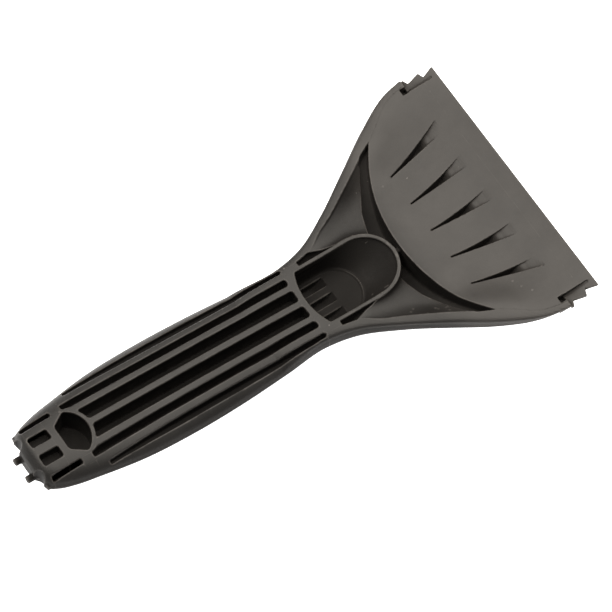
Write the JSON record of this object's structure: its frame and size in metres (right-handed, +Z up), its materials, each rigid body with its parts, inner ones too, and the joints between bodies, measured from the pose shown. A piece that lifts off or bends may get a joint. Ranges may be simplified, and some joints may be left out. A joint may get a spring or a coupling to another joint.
{
  "type": "ice_scraper",
  "caption": "Hand-held windshield ice scraper with a wide dished head, a flared waist with a thumb cup, a ribbed handle and a hanging ring near its end.",
  "frame": {"origin": "Middle of the scraper's length and width, on the plane that the handle's underside rests on.", "axes": "+X along the scraper from the handle's end towards the scraping edge, +Y to the left when looking along +X, +Z up out of the face with the thumb cup."},
  "size_m": [0.212, 0.1138, 0.0202],
  "materials": {
    "moulded_plastic": "fine matte moulded texture"
  },
  "bodies": {
    "root": {"arm_left": "moulded_plastic", "arm_right": "moulded_plastic", "belly_skin": "moulded_plastic", "blade_edge": "moulded_plastic", "crossbar": "moulded_plastic", "cup_bridge": "moulded_plastic", "end_nib_1": "moulded_plastic", "end_nib_2": "moulded_plastic", "end_nib_3": "moulded_plastic", "end_nib_4": "moulded_plastic", "end_rib_left": "moulded_plastic", "end_rib_middle": "moulded_plastic", "end_rib_right": "moulded_plastic", "end_wall": "moulded_plastic", "gap_floor_a_left": "moulded_plastic", "gap_floor_a_right": "moulded_plastic", "gap_floor_b_left": "moulded_plastic", "gap_floor_b_right": "moulded_plastic", "gap_floor_c_left": "moulded_plastic", "gap_floor_c_right": "moulded_plastic", "handle_rib_1": "moulded_plastic", "handle_rib_2": "moulded_plastic", "handle_rib_3": "moulded_plastic", "handle_rib_4": "moulded_plastic", "handle_rib_5": "moulded_plastic", "handle_side_left": "moulded_plastic", "handle_side_right": "moulded_plastic", "hanging_ring": "moulded_plastic", "head_plate": "moulded_plastic", "ice_ridge_1": "moulded_plastic", "ice_ridge_2": "moulded_plastic", "ice_ridge_3": "moulded_plastic", "ice_ridge_4": "moulded_plastic", "ice_ridge_5": "moulded_plastic", "plate_back_wall": "moulded_plastic", "ring_floor": "moulded_plastic", "shoulder_left": "moulded_plastic", "shoulder_right": "moulded_plastic", "slit_floor_left": "moulded_plastic", "slit_floor_right": "moulded_plastic", "thumb_cup_wall": "moulded_plastic", "thumb_scoop": "moulded_plastic", "tooth_strip_left": "moulded_plastic", "tooth_strip_right": "moulded_plastic", "web_front_wall_left": "moulded_plastic", "web_front_wall_right": "moulded_plastic", "web_left": "moulded_plastic", "web_rear_wall_left": "moulded_plastic", "web_rear_wall_right": "moulded_plastic", "web_right": "moulded_plastic", "window_floor_left": "moulded_plastic", "window_floor_right": "moulded_plastic"}
  },
  "joints": []
}
